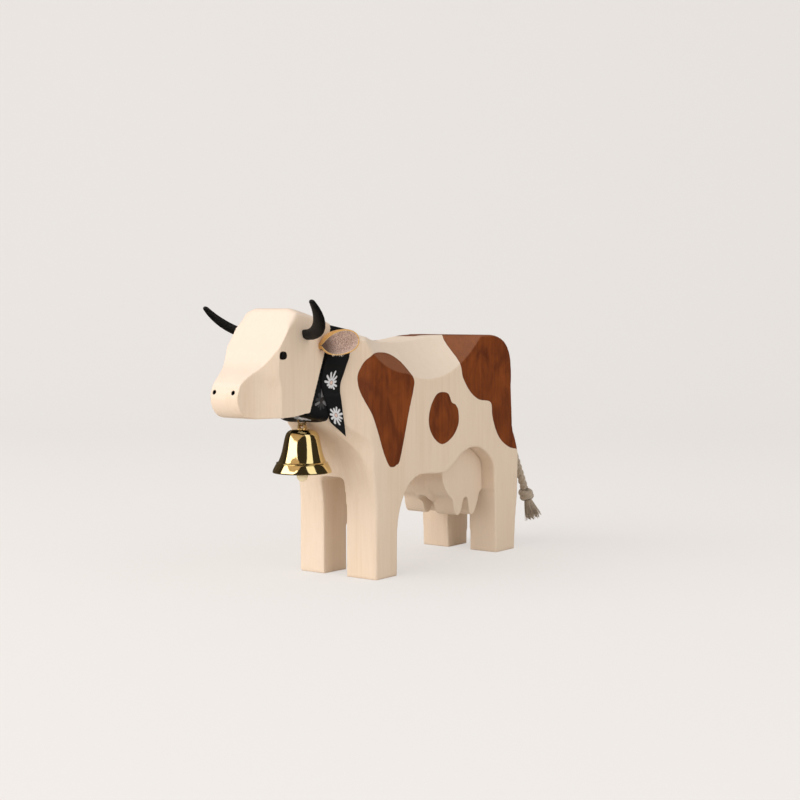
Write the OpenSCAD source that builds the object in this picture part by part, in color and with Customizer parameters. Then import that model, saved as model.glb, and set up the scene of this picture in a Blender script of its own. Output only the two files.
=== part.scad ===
// Wooden toy cow: sawn body block, set-in udder, separate head, leather ears,
// dark horns, a woven neck ribbon, a small brass bell and a rope tail.
// The cow looks along -X and its left flank faces -Y. The floor is z = 0.

/* [Body] */
// Length from the front legs' front face to the back of the thighs
body_l = 142; // [135:1:150]
// Height of the flat back above the floor
back_h = 129.5; // [126:0.5:134]
// Thickness of the body block
body_w = 52; // [48:1:56]
// Width of the saw cut that parts the left and right legs
leg_gap = 16; // [12:1:19]
// Height of that cut's crown
leg_gap_h = 54; // [48:1:56]
// Corner radius at the crown of that cut
leg_gap_r = 3; // [1:0.5:5]
// Rounding of the hind corners
hind_r = 3; // [1:0.5:5]
// Width of the knife cut along the edges of the breast
breast_cut = 5.2; // [3:0.1:6]
// Radius of the long scoop along each side of the back
back_scoop_r = 105; // [90:1:130]
// Slope of that scoop, from upright
back_scoop_slope = 35; // [30:1:42]
// Distance of its lowest point behind the front legs' face
back_scoop_x = 50; // [44:1:56]
// Height of its lowest point on the flank
back_scoop_h = 105.6; // [100:0.2:112]
// Radius of the scoop between shoulder and back
shoulder_scoop_r = 90; // [80:1:105]
// Slope of that scoop, from upright
shoulder_scoop_slope = 33.5; // [31:0.5:36]
// Angle at which it is turned towards the neck
shoulder_scoop_turn = 31.5; // [28:0.5:35]
// Distance of its lowest point behind the front legs' face
shoulder_scoop_x = 3.9; // [1:0.1:7]
// Height of its lowest point on the flank
shoulder_scoop_h = 117; // [114:0.2:120]

/* [Neck] */
// Distance of the neck's under edge ahead of the front legs' face
neck_reach = 40.8; // [38:0.2:44]
// Height of the neck's under edge at the head
throat_h = 91.6; // [90:0.2:94]
// Backward lean of the joint between neck and head
neck_lean = 19.3; // [16:0.1:21]
// Angle at which each side of the neck narrows towards the head
neck_taper = 22.6; // [20:0.2:24]
// Distance of the shoulder edge ahead of the front legs' face
shoulder_lead = 3; // [1:0.5:5]
// Height of the cut along the neck's upper edges
nape_cut_h = 3.8; // [2:0.1:5]
// Width of that cut
nape_cut_w = 9; // [6:0.2:10]
// Diameter of the dowel between neck and head
dowel_d = 8; // [6:1:10]
// Length of that dowel
dowel_l = 36; // [28:1:44]

/* [Udder] */
// Height of the udder block
udder_h = 41.2; // [38:0.2:43]
// Thickness of the udder block
udder_w = 35.4; // [30:0.2:40]
// Height of the udder's crown above the floor
udder_top = 64.7; // [62:0.2:68]
// Width of the cut between the left and right teats
teat_gap = 7.6; // [5:0.2:10]
// Height of that cut
teat_gap_h = 16.6; // [12:0.2:18]

/* [Head] */
// Distance of the nose ahead of the front legs' face
head_lead = 87.3; // [84:0.1:90]
// Height of the head, from the throat to the poll
head_h = 52.4; // [50:0.2:56]
// Thickness of the head block
head_w = 36; // [34:0.5:40]
// Width of the muzzle at its front
muzzle_w = 19.8; // [17:0.2:23]
// Radius of the scoop on each cheek
cheek_r = 38; // [34:1:44]
// Distance of the cheek scoop's hind edge ahead of the front legs' face
cheek_lead = 64.5; // [62:0.5:67]
// Distance of the eyes ahead of the front legs' face
eye_lead = 62.4; // [60:0.1:63]
// Diameter of the eye pegs
eye_d = 4; // [3:0.1:4.4]
// Length of the eye pegs inside the head
eye_l = 6; // [4:0.5:8]
// Height to which the round eye heads stand out
eye_crown = 0.6; // [0.3:0.1:1]
// Distance of each nostril from the middle
nostril_y = 6.3; // [4.5:0.1:7.5]
// Diameter of the nostril holes
nostril_d = 1.9; // [1.4:0.1:2.6]
// Depth of the nostril holes
nostril_depth = 4; // [2:0.5:6]

/* [Horns] */
// Distance of the horns' roots ahead of the front legs' face
horn_lead = 46.5; // [44:0.5:50]
// Reach of each horn out from the side of the head
horn_out = 17; // [14:0.2:20]
// Reach of each horn forwards
horn_forward = 15.5; // [11:0.5:18]
// Rise of the left horn
horn_rise_left = 16.2; // [12:0.2:18]
// Rise of the right horn
horn_rise_right = 13; // [10:0.2:16]
// Width of a horn at its widest, across its bend
horn_d = 6.5; // [5.5:0.1:7.5]
// Thickness of a horn
horn_t = 3.4; // [2.8:0.1:4.4]
// Length of the horn's stub inside the head
horn_stub_l = 7; // [5:0.5:9]

/* [Ears] */
// Distance of the ears' roots ahead of the front legs' face
ear_lead = 33.6; // [33:0.1:36]
// Length of an ear
ear_l = 19.8; // [17:0.2:22]
// Height of an ear's opening
ear_h = 12.8; // [10:0.2:15]
// Depth of an ear's cup
ear_depth = 6.4; // [5:0.2:8]
// Thickness of the leather
ear_t = 1.2; // [1:0.1:1.6]
// Angle at which the ears point back from straight out
ear_back = 28; // [20:1:36]
// Angle at which they point up
ear_up = 10; // [0:1:16]
// Diameter of the rolled stub inside the head
ear_stub_d = 3.4; // [2.6:0.2:4]
// Length of that stub
ear_stub_l = 6; // [4:0.5:8]
// Distance of the cup from the head
ear_gap = 0.4; // [0.2:0.1:1.6]

/* [Ribbon] */
// Width of the neck ribbon
ribbon_w = 13.9; // [12:0.1:14.2]
// Distance of the ribbon behind the head
ribbon_back = 0.5; // [0.4:0.1:0.8]
// Thickness of the ribbon
ribbon_t = 0.5; // [0.4:0.05:0.7]
// Width of the ribbon's free end
ribbon_end_w = 9.6; // [8:0.2:12]
// Length of the free end's longer edge
ribbon_end_l = 26; // [20:0.5:28]

/* [Bell] */
// Diameter of the bell at its rim
bell_d = 31.2; // [28:0.2:33]
// Height of the bell's shell
bell_h = 23.2; // [21:0.2:24]
// Wall of the bell
bell_wall = 0.9; // [0.7:0.1:1.2]
// Distance of the jump ring's middle below the neck's under face
ring_drop = 0.57; // [0.5:0.01:0.7]
// Mean diameter of the jump ring
ring_d = 6.4; // [6:0.1:6.6]
// Diameter of the jump ring's wire
ring_wire = 0.8; // [0.6:0.1:0.9]
// Outer width of the brass loop on the bell
loop_w = 5; // [4.6:0.2:5.4]
// Outer height of that loop
loop_h = 3.2; // [3:0.1:3.6]
// Width of the brass strip that forms it
strip_w = 1.6; // [1.2:0.1:1.8]
// Thickness of the brass strip
strip_t = 0.8; // [0.6:0.1:0.9]
// Diameter of the rivet through the bell's crown
rivet_d = 2.8; // [2.2:0.1:3.2]
// Distance of the inner eye's middle below the crown's underside
lug_drop = 2.4; // [2:0.1:2.6]
// Diameter of the clapper's ball
clapper_d = 6; // [5:0.2:6.6]
// Diameter of the clapper's wire
clapper_wire = 1; // [0.8:0.1:1.1]
// Mean diameter of the two linked eyes inside the bell
eye_loop_d = 3.6; // [3.4:0.1:4]
// Length from the clapper's pivot to the middle of its ball
clapper_l = 20.8; // [18:0.2:21.4]

/* [Tail] */
// Diameter of the tail rope
rope_d = 5; // [4.4:0.1:5.6]
// Height of the tail's hole above the floor
tail_h = 104; // [103:0.5:105]
// Depth of the tail's hole
tail_hole_depth = 10; // [8:0.5:14]
// Diameter of the knot at the tail's end
knot_d = 9.6; // [8:0.2:12]
// Length of the frayed tuft below the knot
tuft_l = 14; // [10:0.5:15]
// Diameter of the tuft at its end
tuft_d = 11; // [9:0.5:13]

/* [Hidden] */
// Overrun of every cut past the face that it leaves
over = 1;
// Gap of a glued joint between two blocks
glue_gap = 0.1;
// Radial clearance of a peg, dowel or stub in its hole
peg_gap = 0.05;
// Clearance of the ribbon from the wood
ribbon_gap = 0.4;
// Running clearance inside the bell's loops
ring_gap = 0.25;
// Places along the object are measured back from the front legs' front face
front_x = (head_lead - body_l) / 2;
// Heights on the head, as shares of its own height above the throat
nape_share = 0.863;
eye_share = 0.567;
horn_share = 0.761;
ear_share = 0.643;
nostril_share = 0.223;
seam_share = 0.237;
poll_h = throat_h + head_h;
nape_h = throat_h + nape_share * head_h;
eye_h = throat_h + eye_share * head_h;
horn_h = throat_h + horn_share * head_h;
ear_root_h = throat_h + ear_share * head_h;
nostril_h = throat_h + nostril_share * head_h;
ribbon_seam_h = throat_h + seam_share * head_h;
// Place and length of the udder, as shares of the body's length
udder_x = 0.5246 * body_l;
udder_l = 0.2909 * body_l;
round_fn = 64;
maple = [0.93, 0.84, 0.73];
horn_black = [0.09, 0.09, 0.1];
tan_leather = [0.78, 0.55, 0.33];
ribbon_black = [0.05, 0.05, 0.07];
brass = [0.82, 0.66, 0.3];
hemp = [0.62, 0.55, 0.43];

// A smooth line through hand-chosen points, with n steps between two points
function between(a, b, c, d, t) = (2 * b + (c - a) * t + (2 * a - 5 * b + 4 * c - d) * t * t
    + (3 * b - a - 3 * c + d) * t * t * t) / 2;
function through(p, n) = let (e = len(p) - 1) concat(
    [for (i = [0 : e - 1], j = [0 : n - 1])
        between(p[max(i - 1, 0)], p[i], p[i + 1], p[min(i + 2, e)], j / n)], [p[e]]);
function mirrored(half) = concat(half, [for (i = [len(half) - 1 : -1 : 0]) [half[i][0], -half[i][1]]]);
function unit(v) = v / norm(v);

// Triangles between two rings of m points, which start at points a and b
function band_faces(a, b, m) = [for (k = [0 : m - 1], h = [0, 1]) let (j = (k + 1) % m)
    h == 0 ? [a + j, a + k, b + k] : [a + j, b + k, b + j]];
// Faces of a solid lofted through n rings of m points, closed by two caps
function loft_faces(n, m) = concat([[for (k = [0 : m - 1]) k]],
    [for (i = [0 : n - 2], f = band_faces(i * m, (i + 1) * m, m)) f],
    [[for (k = [m - 1 : -1 : 0]) (n - 1) * m + k]]);
// A tube along p, with a radius at each point, made flat times as thick along side as across it
function tube_points(p, r, side, m, flat) = let (e = len(p) - 1) [for (i = [0 : e], k = [0 : m - 1])
    let (t = unit(p[min(i + 1, e)] - p[max(i - 1, 0)]), a = unit(cross(side, t)), b = cross(t, a) * flat,
        w = 360 * k / m) p[i] + r[i] * (a * cos(w) + b * sin(w))];
module tube(p, r, side, m, flat = 1)
    polyhedron(tube_points(p, r, side, m, flat), loft_faces(len(p), m));
module both_sides() {
    children();
    mirror([0, 1, 0]) children();
}
module flip(side) mirror([0, side, 0]) children();

// Side view of the body: legs and back as shares of body_l and back_h, the breast as shares of
// neck_reach and throat_h; the third share is of breast_cut
leg_shares = [[0.015, 0, 0.16], [0.015, 0.12, 0.16], [0.015, 0.23, 0.2], [0.01, 0.331, 0.3]];
breast_shares = [[-0.0209, 0.5888, 0.44], [-0.0696, 0.6546, 0.5], [-0.1149, 0.7097, 0.65],
    [-0.1949, 0.7747, 0.95], [-0.3237, 0.8299, 1], [-0.5047, 0.8912, 0.8]];
saddle_shares = [[0.017, 0.9961], [0.052, 0.99], [0.087, 0.9853], [0.129, 0.9807],
    [0.171, 0.9776], [0.221, 0.9753], [0.270, 0.9753], [0.319, 0.9784], [0.369, 0.9822],
    [0.418, 0.9884], [0.467, 0.9946], [0.531, 0.9992], [0.601, 1]];
rump_shares = [[0.789, 1], [0.843, 0.989], [0.896, 0.957], [0.929, 0.898], [0.938, 0.815],
    [0.935, 0.735], [0.941, 0.578], [0.962, 0.52], [0.982, 0.465], [1, 0.385], [0.998, 0.313],
    [0.976, 0.151], [0.967, 0]];
hind_front_shares = [[0.828, 0], [0.821, 0.154], [0.819, 0.289], [0.815, 0.29]];
belly_shares = [[0.42, 0.404], [0.35, 0.409], [0.28, 0.41], [0.216, 0.381], [0.178, 0.335],
    [0.151, 0.272], [0.136, 0.192], [0.133, 0]];
function station(shares) = [for (s = shares) [front_x + s[0] * body_l, s[1] * back_h]];

// Side view of the udder, as shares of udder_l and udder_h, from its front lower corner
udder_crown_shares = [[1, 0.645], [0.955, 0.76], [0.85, 0.86], [0.69, 0.955], [0.52, 1],
    [0.34, 0.988], [0.18, 0.933], [0, 0.822]];
seat_front_shares = [[-0.1, 0.76], [-0.21, 0.71]];
udder_front_shares = [[0.005, 0.62], [0.027, 0.515], [0.087, 0.415]];
teat_shares = [[0.087, 0.415], [0.167, 0.325], [0.26, 0.257], [0.286, 0.146], [0.324, 0.06],
    [0.383, 0.027], [0.443, 0.051], [0.48, 0.121], [0.511, 0.214], [0.552, 0.262], [0.608, 0.262],
    [0.646, 0.206], [0.663, 0.109], [0.68, 0.034], [0.729, 0], [0.787, 0.02], [0.835, 0.085],
    [0.881, 0.17], [0.915, 0.26], [0.947, 0.318], [1, 0.34]];
function udder_points(shares, gap) = [for (s = shares) [front_x + udder_x + s[0] * (udder_l - gap),
    udder_top - udder_h + s[1] * (udder_h - gap)]];

// The neck's end face leans back from the throat to the nape
throat_x = front_x - neck_reach;
nape_x = throat_x + (nape_h - throat_h) * tan(neck_lean);
shoulder_x = front_x - shoulder_lead;
function half_width(x) = body_w / 2 - max(0, shoulder_x - x) * tan(neck_taper);

// The neck is straight above and below for as far as the ribbon covers it
neck_flat = 0.99 * (ribbon_back + ribbon_w);
throat_end_h = 0.9461 * throat_h;
nape_end_h = back_h + 0.54 * (nape_h - back_h);
throat_rate = (throat_h - throat_end_h) / neck_flat;
nape_rate = (nape_h - nape_end_h) / neck_flat;
chest_line = through(concat(
    [for (s = leg_shares) [front_x + s[0] * body_l, s[1] * back_h, s[2] * breast_cut]],
    [for (s = breast_shares) [front_x + s[0] * neck_reach, s[1] * throat_h, s[2] * breast_cut]],
    [[throat_x + neck_flat, throat_end_h, 0.6 * breast_cut]]), 3);

// From there the back falls to the saddle, by shares of that step
nape_end = [nape_x + neck_flat, nape_end_h];
saddle = station(saddle_shares);
fall_shares = [[0.233, 0.258], [0.617, 0.685]];
saddle_line = through(concat([nape_end], [for (f = fall_shares)
    [for (i = [0, 1]) nape_end[i] + f[i] * (saddle[0][i] - nape_end[i])]], saddle), 3);
body_plan = mirrored(concat([[throat_x, half_width(throat_x)], [shoulder_x, body_w / 2]],
    [for (a = [90 : -15 : 0])
        [front_x + body_l - hind_r * (1 - cos(a)), body_w / 2 - hind_r * (1 - sin(a))]]));

body_outline = concat([for (p = chest_line) [p[0], p[1]]], [[throat_x, throat_h], [nape_x, nape_h]],
    saddle_line, through(station(rump_shares), 3), station(hind_front_shares),
    through(udder_points(udder_crown_shares, 0), 3), through(udder_points(seat_front_shares, 0), 2),
    through(station(belly_shares), 3));

// The knife cut along a breast edge is the chest line again, moved in and cut on the slant
module breast_edge(side) {
    slant = [for (p = chest_line) [(p[0] + p[2] - half_width(p[0])) * cos(45), p[1]]];
    neck_front = (throat_x - body_w) * cos(45);
    rotate([0, 0, 45 * side]) rotate([90, 0, 0]) linear_extrude(body_l * 3, center = true)
        polygon(concat([[body_l * 2, -over], [slant[0][0], -over]], slant,
            [[neck_front, throat_h], [neck_front, poll_h + over], [body_l * 2, poll_h + over]]));
}

// A hollow planed across an upper edge of the left side: lowest at x, z on the flank
module side_scoop(x, z, slope, turn, r) translate([front_x + x, -body_w / 2, z]) rotate([0, turn, 0])
    rotate([-slope, 0, 0]) translate([0, -r, 0]) cylinder(r = r, h = body_l * 2, center = true, $fn = 180);

// The flat cut along the neck's upper left edge
module nape_cut() translate([nape_x, -half_width(nape_x), nape_h - nape_cut_h])
    rotate([0, atan(nape_rate), -neck_taper]) rotate([atan2(nape_cut_h, nape_cut_w), 0, 0])
        translate([-neck_reach, -body_w, 0]) cube([neck_reach * 1.9, body_w * 1.4, body_w]);

// A saw cut along the object with a rounded crown
module long_cut(w, h, r) translate([throat_x - over, 0, 0]) rotate([90, 0, 90]) linear_extrude(body_l * 2) {
    translate([-w / 2, -over]) square([w, h - r + over]);
    translate([r - w / 2, -over]) square([w - 2 * r, h + over]);
    for (s = [-1, 1]) translate([s * (w / 2 - r), h - r]) circle(r = r, $fn = round_fn);
}

module dowel_space(d, l) translate([(throat_x + nape_x) / 2, 0, (throat_h + nape_h) / 2])
    rotate([0, neck_lean - 90, 0]) cylinder(d = d, h = l, center = true, $fn = round_fn);

bell_x = throat_x + 0.898 * neck_flat;
ring_h = throat_h - throat_rate * (bell_x - throat_x) - ring_drop;
tail_x = front_x + rump_shares[4][0] * body_l;
module body_block() color(maple) difference() {
    intersection() {
        rotate([90, 0, 0]) linear_extrude(body_w, center = true) polygon(body_outline);
        linear_extrude(poll_h) polygon(body_plan);
        breast_edge(1);
        breast_edge(-1);
    }
    long_cut(leg_gap, leg_gap_h, leg_gap_r);
    both_sides() {
        side_scoop(back_scoop_x, back_scoop_h, back_scoop_slope, 0, back_scoop_r);
        side_scoop(shoulder_scoop_x, shoulder_scoop_h, shoulder_scoop_slope, shoulder_scoop_turn,
            shoulder_scoop_r);
        nape_cut();
    }
    dowel_space(dowel_d + 2 * peg_gap, dowel_l + 2 * glue_gap);
    translate([bell_x, 0, throat_h - ring_d - over]) cylinder(d = ring_d + 3 * ring_wire,
        h = ring_h + ring_d / 2 + ring_wire - throat_h + ring_d + over, $fn = round_fn);
    translate([tail_x - tail_hole_depth, 0, tail_h]) rotate([0, 90, 0])
        cylinder(d = rope_d + 2 * peg_gap, h = tail_hole_depth * 2, $fn = round_fn);
}

module udder_block() color(maple) difference() {
    rotate([90, 0, 0]) linear_extrude(udder_w, center = true)
        polygon(concat(through(udder_points(udder_crown_shares, glue_gap), 3),
            through(udder_points(udder_front_shares, glue_gap), 3),
            through(udder_points(teat_shares, glue_gap), 3)));
    translate([0, 0, udder_top - udder_h]) long_cut(teat_gap, teat_gap_h, teat_gap / 2 - glue_gap);
}

// Side view of the head, as shares of head_lead and head_h, from the nape to the throat
head_shares = [[-0.4, 0.926], [-0.47, 0.956], [-0.54, 0.981], [-0.584, 0.999], [-0.6, 0.995],
    [-0.612, 0.97], [-0.624, 0.931], [-0.656, 0.846], [-0.699, 0.747], [-0.74, 0.651],
    [-0.7835, 0.538], [-0.825, 0.459], [-0.882, 0.393], [-0.932, 0.34], [-0.972, 0.291],
    [-0.996, 0.215], [-0.998, 0.141], [-0.976, 0.068], [-0.932, 0.013], [-0.87, -0.011]];
head_outline = concat([[nape_x - glue_gap, nape_h]],
    through([for (s = head_shares) [front_x + s[0] * head_lead, throat_h + s[1] * head_h]], 3),
    [[throat_x - neck_lean * glue_gap, throat_h - glue_gap * 2]]);

module head_block() color(maple) difference() {
    rotate([90, 0, 0]) linear_extrude(head_w, center = true) polygon(head_outline);
    both_sides() {
        cheek_y = muzzle_w / 2 + cheek_r;
        cheek_x = front_x - cheek_lead - sqrt(pow(cheek_r, 2) - pow(cheek_y - head_w / 2, 2));
        translate([cheek_x, cheek_y, 0]) cylinder(r = cheek_r, h = poll_h + over, $fn = 180);
        peg_hole(horn_lead, horn_h, horn_t, horn_stub_l);
        peg_hole(ear_lead, ear_root_h, ear_stub_d, ear_stub_l);
        peg_hole(eye_lead, eye_h, eye_d, eye_l);
        translate([front_x - head_lead - over, nostril_y, nostril_h]) rotate([0, 90, 0])
            cylinder(d = nostril_d, h = nostril_depth + over * 1.5, $fn = round_fn);
    }
    dowel_space(dowel_d + 2 * peg_gap, dowel_l + 2 * glue_gap);
}
module peg_hole(lead, h, d, depth) translate([front_x - lead, head_w / 2 - depth - glue_gap, h])
    rotate([-90, 0, 0]) cylinder(d = d + 2 * peg_gap, h = depth + over + glue_gap, $fn = round_fn);

module neck_dowel() color(maple) dowel_space(dowel_d, dowel_l);

module peg(d, l) translate([0, head_w / 2 - l, 0]) rotate([-90, 0, 0])
    cylinder(d = d, h = l, $fn = round_fn);

// A horn leaves the head square to it, and bends forwards and up to a blunt tip; its width along
// the bend is given as shares of horn_d
horn_shares = [0.9, 0.93, 0.97, 1, 1, 0.99, 0.95, 0.87, 0.76, 0.63, 0.47];
module horn(side, rise) color(horn_black) flip(side) translate([front_x - horn_lead, 0, horn_h]) {
    root = head_w / 2 + glue_gap;
    start = horn_t / 4;
    steps = len(horn_shares) - 1;
    tip_r = horn_shares[steps] * horn_d / 2;
    bend = [for (i = [0 : steps]) let (a = 90 * i / steps)
        [-horn_forward * (1 - cos(a)), root + start + horn_out * sin(a), rise * (1 - cos(a))]];
    end_way = unit([-horn_forward, 0, rise]);
    tip = [for (i = [1 : 3]) 25 * i];
    peg(horn_t - 2 * peg_gap, horn_stub_l);
    translate([0, glue_gap + tip_r, 0]) peg(horn_t - 4 * peg_gap, tip_r * 2);
    tube(concat([[0, root, 0]], bend, [for (a = tip) bend[steps] + end_way * tip_r * sin(a)]),
        concat([horn_shares[0] * horn_d / 2], [for (s = horn_shares) s * horn_d / 2],
            [for (a = tip) tip_r * cos(a)]),
        [rise, 0, horn_forward], 16, horn_t / horn_d);
}
module horn_left() horn(1, horn_rise_left);
module horn_right() horn(0, horn_rise_right);

// An ear is a half-rolled cup of leather on a stub; its opening looks forwards and out
module ear(side) color(tan_leather) flip(side) translate([front_x - ear_lead, 0, ear_root_h]) {
    peg(ear_stub_d - 2 * peg_gap, ear_stub_l);
    translate([0, glue_gap + ear_t, 0]) peg(ear_stub_d - 4 * peg_gap, ear_t * 2);
    difference() {
        translate([0, head_w / 2, 0]) rotate([0, 0, 90 - ear_back]) rotate([0, -ear_up, 0]) ear_cup();
        translate([-ear_l, 0, -ear_h]) cube([ear_l * 2, head_w / 2 + glue_gap, ear_h * 2]);
    }
}
module ear_cup() difference() {
    union() {
        translate([ear_l / 2 + ear_gap, 0, 0]) ear_bowl(ear_l, ear_h, ear_depth);
        rotate([0, 90, 0]) cylinder(d = ear_stub_d, h = ear_gap + ear_t * 3, $fn = round_fn);
    }
    translate([ear_l / 2 + ear_gap, 0, 0])
        ear_bowl(ear_l - 2 * ear_t, ear_h - 2 * ear_t, ear_depth - ear_t);
    translate([ear_gap, 0, -ear_h]) cube([ear_l * 2, ear_l, ear_h * 2]);
}
module ear_bowl(l, h, depth) scale([l / 2, depth, h / 2]) sphere(r = 1, $fn = 48);
module ear_left() ear(1);
module ear_right() ear(0);

// An eye is a short peg with a low round head
module eye(side) color(horn_black) flip(side) translate([front_x - eye_lead, 0, eye_h]) {
    dome_r = (pow(eye_d / 2, 2) + pow(eye_crown, 2)) / (2 * eye_crown);
    peg(eye_d - 2 * peg_gap, eye_l);
    intersection() {
        translate([0, eye_crown, 0]) peg(eye_d - 2 * peg_gap, eye_crown * 2);
        translate([0, head_w / 2 + eye_crown - dome_r, 0]) sphere(r = dome_r, $fn = round_fn);
    }
}
module eye_left() eye(1);
module eye_right() eye(0);

// The ribbon follows the neck's outline at a distance s behind the joint, g off the wood
under_ease = ribbon_w / 12;
function neck_half(s, g) = let (lean = tan(neck_lean), u = s / cos(neck_lean) / (1 + throat_rate * lean),
    v = s / cos(neck_lean) / (1 + nape_rate * lean), x = throat_x + u, z = throat_h - throat_rate * u,
    y = half_width(x), xt = nape_x + v, zt = nape_h - nape_rate * v, yt = half_width(xt),
    xs = xt - nape_cut_h * lean) [
    [x, 0, z - g], [x, y - under_ease, z - g], [x, y + g * 0.7, z - g * 0.7],
    [x + under_ease * lean, half_width(x + under_ease * lean) + g, z + under_ease],
    for (t = [0.25, 0.5, 0.75]) let (m = x + (xs - x) * t)
        [m, half_width(m) + g, z + (zt - nape_cut_h - z) * t],
    [xs, half_width(xs) + g, zt - nape_cut_h], [xt, yt + g * 0.9 - nape_cut_w / 3, zt - nape_cut_h / 3 + g * 0.8],
    [xt, yt - nape_cut_w, zt + g], [xt, 0, zt + g]];
function neck_loop(s, g) = let (half = neck_half(s, g), e = len(half) - 1)
    concat(half, [for (i = [e - 1 : -1 : 1]) [half[i][0], -half[i][1], half[i][2]]]);
ribbon_in = ribbon_gap;
ribbon_out = ribbon_gap + ribbon_t;
module ribbon_band() {
    rows = [for (r = [[0, 0], [0.5, 0], [1, 0], [1, 1], [0.5, 1], [0, 1]])
        neck_loop(ribbon_back + r[0] * ribbon_w, r[1] == 1 ? ribbon_out : ribbon_in)];
    n = len(rows[0]);
    m = len(rows);
    polyhedron([for (k = [0 : n - 1], r = rows) r[k]],
        [for (k = [0 : n - 1], f = band_faces(k * m, ((k + 1) % n) * m, m)) f]);
}

// The free end lies on the band and hangs down past it, cut off on the slant
end_shares = [[-0.05, 1], [-0.95, 1], [-0.9, 0.66], [-0.72, 0.36], [0.33, 0.01], [0.3, 0.36], [0.08, 0.72]];
module ribbon_end() translate([shoulder_x, -body_w / 2, ribbon_seam_h - ribbon_end_l])
    rotate([0, 0, -neck_taper]) translate([-neck_reach / 2, -ribbon_out - ribbon_t, 0])
        rotate([90, 0, 0]) mirror([0, 0, 1]) linear_extrude(ribbon_t * 1.4)
            polygon([for (s = end_shares) [s[0] * ribbon_end_w, s[1] * ribbon_end_l]]);
module neck_ribbon() color(ribbon_black) difference() {
    union() {
        ribbon_band();
        ribbon_end();
    }
    translate([bell_x - ring_d / 2, 0, throat_h - ring_d])
        cylinder(d = ring_wire * 2.5, h = ring_d, $fn = round_fn);
}

module hoop(d, wire) rotate([90, 0, 0]) rotate_extrude($fn = round_fn)
    translate([d / 2, 0]) circle(d = wire, $fn = 24);
module bell_ring() color(brass) translate([bell_x, 0, ring_h]) hoop(ring_d, ring_wire);

// Outline of the bell, as shares of its radius and height, from the rim to the crown
bell_shares = [[1, 0], [0.994, 0.04], [0.95, 0.11], [0.89, 0.185], [0.872, 0.2], [0.878, 0.215],
    [0.866, 0.228], [0.81, 0.24], [0.75, 0.34], [0.69, 0.47], [0.648, 0.6], [0.61, 0.73],
    [0.555, 0.86], [0.49, 0.93], [0.405, 0.972], [0.31, 0.993], [0.2, 1]];
hang_h = ring_h - ring_d / 2;
crown_h = hang_h + ring_wire / 2 + ring_gap + strip_t - loop_h;
rim_h = crown_h - bell_h;
module bell_shell() color(brass) translate([bell_x, 0, rim_h]) {
    outside = [for (s = bell_shares) [s[0] * bell_d / 2, s[1] * bell_h]];
    inside = [for (s = bell_shares) if (s[0] < 0.87 || s[1] < 0.19)
        [s[0] * bell_d / 2 - bell_wall, s[1] * (bell_h - bell_wall)]];
    hole = rivet_d / 2 + peg_gap;
    rotate_extrude($fn = 128) polygon(concat(outside, [[hole, bell_h], [hole, bell_h - bell_wall]],
        [for (i = [len(inside) - 1 : -1 : 0]) inside[i]]));
}

// A bent strip on the crown, a rivet through it and a wire eye below it, all in one
module bell_hanger() color(brass) translate([bell_x, 0, crown_h]) {
    flange_h = strip_t * 0.75;
    difference() {
        loop_plate(loop_w, loop_h, strip_w, loop_w * 0.4);
        translate([0, 0, strip_t])
            loop_plate(loop_w - 2 * strip_t, loop_h - 2 * strip_t, strip_w + over, loop_w * 0.4 - strip_t);
    }
    translate([0, 0, -bell_wall - glue_gap * 2])
        cylinder(d = rivet_d, h = bell_wall + strip_t / 2 + glue_gap * 2, $fn = round_fn);
    translate([0, 0, -bell_wall - glue_gap - flange_h])
        cylinder(d = rivet_d * 1.5, h = flange_h, $fn = round_fn);
    translate([0, 0, -bell_wall - lug_drop]) hoop(eye_loop_d, clapper_wire);
}
module loop_plate(w, h, t, r) rotate([90, 0, 90]) translate([0, 0, -t / 2]) linear_extrude(t) {
    translate([-w / 2, 0]) square([w, h - r]);
    translate([r - w / 2, 0]) square([w - 2 * r, h]);
    for (s = [-1, 1]) translate([s * (w / 2 - r), h - r]) circle(r = r, $fn = round_fn);
}

// The clapper's eye hangs in the bell's inner eye, a quarter turn to it
pivot_h = crown_h - bell_wall - lug_drop - eye_loop_d / 2 + clapper_wire + ring_gap * 0.6;
module bell_clapper() color(brass) translate([bell_x, 0, pivot_h]) {
    translate([0, 0, -eye_loop_d / 2]) rotate([0, 0, 90]) hoop(eye_loop_d, clapper_wire);
    translate([0, 0, -clapper_l]) cylinder(d = clapper_wire, h = clapper_l - eye_loop_d, $fn = round_fn);
    translate([0, 0, -clapper_l]) sphere(d = clapper_d, $fn = round_fn);
}

// The tail hangs from its hole in a soft bow; shares of tail_h, from the hole's mouth
tail_shares = [[0.06, 0, 0.993], [0.118, -0.005, 0.962], [0.176, -0.016, 0.9], [0.22, -0.03, 0.817],
    [0.247, -0.046, 0.731], [0.27, -0.062, 0.644], [0.292, -0.079, 0.558], [0.314, -0.095, 0.474],
    [0.338, -0.11, 0.391], [0.36, -0.125, 0.31]];
tail_route = concat([[tail_x - tail_hole_depth + glue_gap, 0, tail_h], [tail_x, 0, tail_h]],
    [for (s = tail_shares) [tail_x + s[0] * tail_h, s[1] * tail_h, s[2] * tail_h]]);
module tail_rope() color(hemp) tube(tail_route, [for (p = tail_route) rope_d / 2], [0, 1, 0], 10);

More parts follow.
